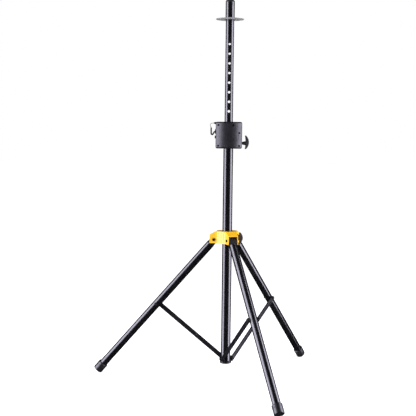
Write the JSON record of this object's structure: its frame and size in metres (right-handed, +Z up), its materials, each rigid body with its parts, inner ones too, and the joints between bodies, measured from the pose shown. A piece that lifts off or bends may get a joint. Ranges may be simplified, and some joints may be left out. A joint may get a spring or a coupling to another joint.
{
  "type": "speaker tripod stand",
  "caption": "Telescopic tripod stand: folding tube legs with braces on a yellow hub, a clamped and pinned mast, and a round plate below a spigot that fits a loudspeaker's socket.",
  "frame": {"origin": "on the mast's axis at floor level, under the hub", "axes": "+Z up along the mast; the clamp knob of the mast is on +X, and +Y is away from the side with the housing's screws"},
  "size_m": [0.9543, 1.0071, 1.609],
  "materials": {
    "black_tube": "semi-gloss powder coat",
    "grey_flange": "satin paint",
    "yellow_hub": "yellow painted casting",
    "black_housing": "satin moulding",
    "black_handle": "fine-grained moulding",
    "bush_plastic": "smooth",
    "fastener_steel": "blackened",
    "pin_steel": "black plated",
    "insert_brass": "turned",
    "foot_rubber": "satin",
    "cord_fabric": "woven"
  },
  "bodies": {
    "mast": {"lower_tube": "black_tube", "lower_tube_bush": "bush_plastic", "mast_end_plug": "black_housing", "strut_bracket": "black_tube", "bracket_bolts": "fastener_steel", "clutch_front_cover": "black_housing", "clutch_rear_cover": "black_housing", "cover_screws": "fastener_steel", "top_guide_bush": "bush_plastic", "clamp_collar": "black_housing", "clamp_screw_insert": "insert_brass", "pin_socket": "black_housing", "lanyard_anchor": "black_housing", "lanyard": "cord_fabric"},
    "mast_guide": {"guide_bush": "bush_plastic"},
    "upper_mast": {"upper_tube": "black_tube", "tube_top_cap": "black_housing", "support_flange": "grey_flange", "adapter_sleeve": "black_tube"},
    "clamp_knob": {"clamp_handle": "black_handle", "clamp_screw": "fastener_steel"},
    "clamp_shoe": {"clamp_shoe": "bush_plastic"},
    "locking_pin": {"locking_pin": "pin_steel"},
    "front_strut": {"front_strut": "black_tube"},
    "front_leg": {"front_leg_knuckle": "black_housing", "front_leg_tube": "black_tube", "front_leg_foot": "foot_rubber", "front_strut_bolt": "fastener_steel", "front_strut_nut": "fastener_steel", "front_strut_spacer": "bush_plastic"},
    "right_strut": {"right_strut": "black_tube"},
    "right_leg": {"right_leg_knuckle": "black_housing", "right_leg_tube": "black_tube", "right_leg_foot": "foot_rubber", "right_strut_bolt": "fastener_steel", "right_strut_nut": "fastener_steel", "right_strut_spacer": "bush_plastic"},
    "left_strut": {"left_strut": "black_tube"},
    "left_leg": {"left_leg_knuckle": "black_housing", "left_leg_tube": "black_tube", "left_leg_foot": "foot_rubber", "left_strut_bolt": "fastener_steel", "left_strut_nut": "fastener_steel", "left_strut_spacer": "bush_plastic"},
    "hub": {"leg_hub": "yellow_hub", "hub_bush": "bush_plastic", "hub_pivot_bolts": "fastener_steel", "hub_pivot_nuts": "fastener_steel"},
    "hub_knob": {"hub_handle": "black_handle", "hub_clamp_screw": "fastener_steel"},
    "hub_shoe": {"hub_shoe": "bush_plastic"}
  },
  "joints": [
    {"name": "mast_height", "type": "slide", "parent": "mast", "child": "mast_guide", "axis": [0, 0, 1], "range_m": [-0.415, 0.16]},
    {"name": "mast_turn", "type": "hinge", "parent": "mast_guide", "child": "upper_mast", "pos_m": [0, 0, 0.7], "axis": [0, 0, 1], "continuous": true},
    {"name": "clamp_knob_turn", "type": "hinge", "parent": "mast", "child": "clamp_knob", "pos_m": [0.069, 0, 1.015], "axis": [1, 0, 0], "range_deg": [0, 360]},
    {"name": "clamp_shoe_press", "type": "slide", "parent": "mast", "child": "clamp_shoe", "axis": [1, 0, 0], "range_m": [0, 0.0016]},
    {"name": "locking_pin_pull", "type": "slide", "parent": "mast", "child": "locking_pin", "axis": [-1, 0, 0], "range_m": [0, 0.034]},
    {"name": "front_strut_fold", "type": "hinge", "parent": "mast", "child": "front_strut", "pos_m": [-0.01309, -0.02645, 0.095], "axis": [-0.9336, -0.3584, 0], "range_deg": [0, 46.5]},
    {"name": "right_strut_fold", "type": "hinge", "parent": "mast", "child": "right_strut", "pos_m": [0.02945, 0.00189, 0.095], "axis": [0.7771, -0.6293, 0], "range_deg": [0, 46.5]},
    {"name": "left_strut_fold", "type": "hinge", "parent": "mast", "child": "left_strut", "pos_m": [-0.01636, 0.02456, 0.095], "axis": [0.1564, 0.9877, 0], "range_deg": [0, 46.5]},
    {"name": "front_leg_fold", "type": "hinge", "parent": "front_strut", "child": "front_leg", "pos_m": [0.08867, -0.29155, 0.31846], "axis": [-0.9336, -0.3584, 0], "range_deg": [-87, 0]},
    {"name": "right_leg_fold", "type": "hinge", "parent": "right_strut", "child": "right_leg", "pos_m": [0.20815, 0.22256, 0.31846], "axis": [0.7771, -0.6293, 0], "range_deg": [-87, 0]},
    {"name": "left_leg_fold", "type": "hinge", "parent": "left_strut", "child": "left_leg", "pos_m": [-0.29682, 0.06898, 0.31846], "axis": [0.1564, 0.9877, 0], "range_deg": [-87, 0]},
    {"name": "hub_lift", "type": "hinge", "parent": "front_leg", "child": "hub", "pos_m": [0.01935, -0.05041, 0.606], "axis": [-0.9336, -0.3584, 0], "range_deg": [0, 40.5]},
    {"name": "hub_knob_turn", "type": "hinge", "parent": "hub", "child": "hub_knob", "pos_m": [0.04988, -0.0079, 0.62], "axis": [0.9877, -0.1564, 0], "range_deg": [0, 360]},
    {"name": "hub_shoe_press", "type": "slide", "parent": "hub", "child": "hub_shoe", "axis": [0.9877, -0.1564, 0], "range_m": [0, 0.0016]}
  ],
  "couplings": [
    {"joint": "clamp_shoe_press", "follows": "clamp_knob_turn", "m_per_rad": 0.00023873},
    {"joint": "front_leg_fold", "follows": "front_strut_fold", "ratio": -1.8708},
    {"joint": "right_strut_fold", "follows": "front_strut_fold", "ratio": 1},
    {"joint": "right_leg_fold", "follows": "front_strut_fold", "ratio": -1.8708},
    {"joint": "left_strut_fold", "follows": "front_strut_fold", "ratio": 1},
    {"joint": "left_leg_fold", "follows": "front_strut_fold", "ratio": -1.8708},
    {"joint": "hub_lift", "follows": "front_strut_fold", "ratio": 0.8708},
    {"joint": "hub_shoe_press", "follows": "hub_knob_turn", "m_per_rad": 0.00023873}
  ]
}
